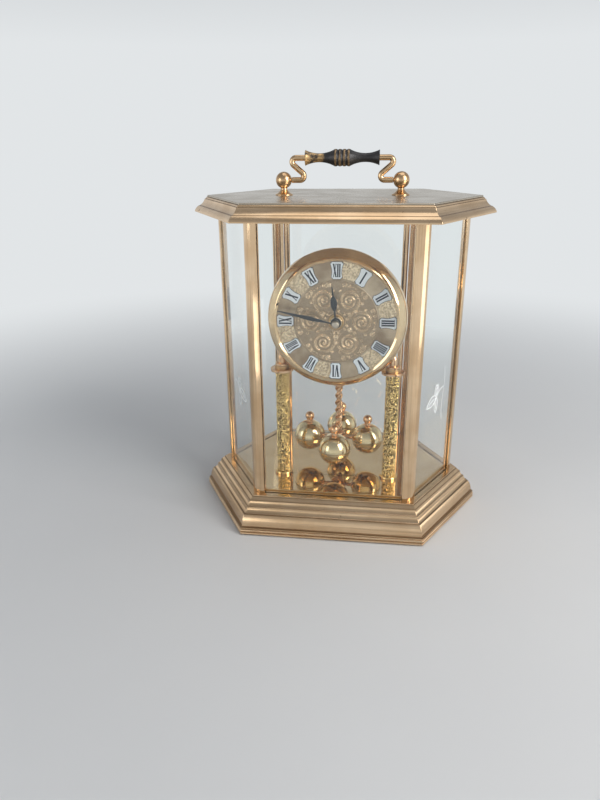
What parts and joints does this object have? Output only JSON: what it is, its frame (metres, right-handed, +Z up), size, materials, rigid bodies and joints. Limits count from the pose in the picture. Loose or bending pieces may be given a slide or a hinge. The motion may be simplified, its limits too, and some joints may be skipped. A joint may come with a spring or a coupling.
{
  "type": "mantel clock",
  "caption": "Six-sided brass and glass mantel clock with a turning ball pendulum, a Roman dial, a swinging carrying handle and a hinged glass rear door.",
  "frame": {"origin": "middle of the felt under the base, on the surface the clock stands on", "axes": "+Z up along the pendulum's axis, the dial faces -Y, +X to the right seen from the front"},
  "size_m": [0.19, 0.13, 0.2289],
  "materials": {
    "case_brass": "satin, lacquered",
    "cap_brass": "satin",
    "polished_brass": "polished",
    "column_gold": "finely textured, bright",
    "antique_brass": "antique, polished",
    "dark_bronze": "dark patina, worn at the ends",
    "clear_glass": "clear, thin",
    "board_wood": "plain",
    "base_felt": "felt",
    "bright_steel": "bright",
    "bridge_brass": "satin",
    "dial_bronze": "satin, embossed",
    "plaque_enamel": "white enamel",
    "hand_black": "black satin",
    "movement_plastic": "moulded",
    "gear_plastic": "moulded",
    "coil_copper": "enamelled copper wire",
    "circuit_green": "board",
    "cell_label": "plain sleeve",
    "magnet": "plated"
  },
  "bodies": {
    "case": {"base_moulding": "case_brass", "base_board": "board_wood", "base_felt": "base_felt", "floor_plate": "polished_brass", "post_front_left": "case_brass", "post_front_right": "case_brass", "post_right": "case_brass", "post_back_right": "case_brass", "post_back_left": "case_brass", "post_left": "case_brass", "pane_front": "clear_glass", "pane_front_right": "clear_glass", "pane_back_right": "clear_glass", "pane_back_left": "clear_glass", "pane_front_left": "clear_glass", "cap_moulding": "case_brass", "cap_board": "board_wood", "cap_plate": "cap_brass", "handle_post_left": "polished_brass", "handle_post_right": "polished_brass", "handle_post_nuts": "bright_steel", "column_left": "column_gold", "column_right": "column_gold", "column_feet": "column_gold", "column_capitals": "column_gold", "tie_rods": "bright_steel", "tie_rod_nuts": "bright_steel", "finial_nuts": "bright_steel", "support_bridge": "bridge_brass", "bezel": "polished_brass", "dial_plate": "dial_bronze", "numeral_plaques": "plaque_enamel", "dial_nut": "bright_steel", "movement_housing": "movement_plastic", "movement_cover": "movement_plastic", "train_plate": "movement_plastic", "circuit_board": "circuit_green", "motor_core": "bright_steel", "motor_coil": "coil_copper", "pendulum_coil": "coil_copper", "battery": "cell_label", "battery_contacts": "bright_steel"},
    "door": {"door_pane": "clear_glass", "door_hinge_stile": "case_brass", "door_lock_stile": "case_brass", "door_knob": "case_brass"},
    "bail": {"bail_rod_left": "antique_brass", "bail_rod_right": "antique_brass", "bail_grip": "dark_bronze"},
    "pendulum": {"pendulum_stem": "polished_brass", "pendulum_arms": "polished_brass", "pendulum_balls": "polished_brass", "pendulum_magnet": "magnet"},
    "minute": {"minute_hand": "hand_black", "hand_nut": "bright_steel", "minute_arbor": "bridge_brass"},
    "hour": {"hour_hand": "hand_black", "hour_wheel": "gear_plastic"},
    "setting": {"setting_arbor": "gear_plastic", "setting_knob": "gear_plastic"}
  },
  "joints": [
    {"name": "minute_turn", "type": "hinge", "parent": "case", "child": "minute", "pos_m": [0, -0.033, 0.133], "axis": [0, 1, 0], "continuous": true},
    {"name": "hour_turn", "type": "hinge", "parent": "case", "child": "hour", "pos_m": [0, -0.033, 0.133], "axis": [0, 1, 0], "continuous": true},
    {"name": "setting_turn", "type": "hinge", "parent": "case", "child": "setting", "pos_m": [0, -0.033, 0.142], "axis": [0, 1, 0], "continuous": true},
    {"name": "pendulum_turn", "type": "hinge", "parent": "case", "child": "pendulum", "pos_m": [0, 0, 0.0427], "axis": [0, 0, 1], "range_deg": [-150, 150]},
    {"name": "bail_swing", "type": "hinge", "parent": "case", "child": "bail", "pos_m": [0, 0, 0.2115], "axis": [1, 0, 0], "range_deg": [-105, 105]},
    {"name": "door_swing", "type": "hinge", "parent": "case", "child": "door", "pos_m": [-0.041, 0.0484, 0.1], "axis": [0, 0, 1], "range_deg": [0, 105]}
  ],
  "couplings": [
    {"joint": "hour_turn", "follows": "minute_turn", "ratio": 0.083333},
    {"joint": "setting_turn", "follows": "minute_turn", "ratio": -0.33333}
  ]
}
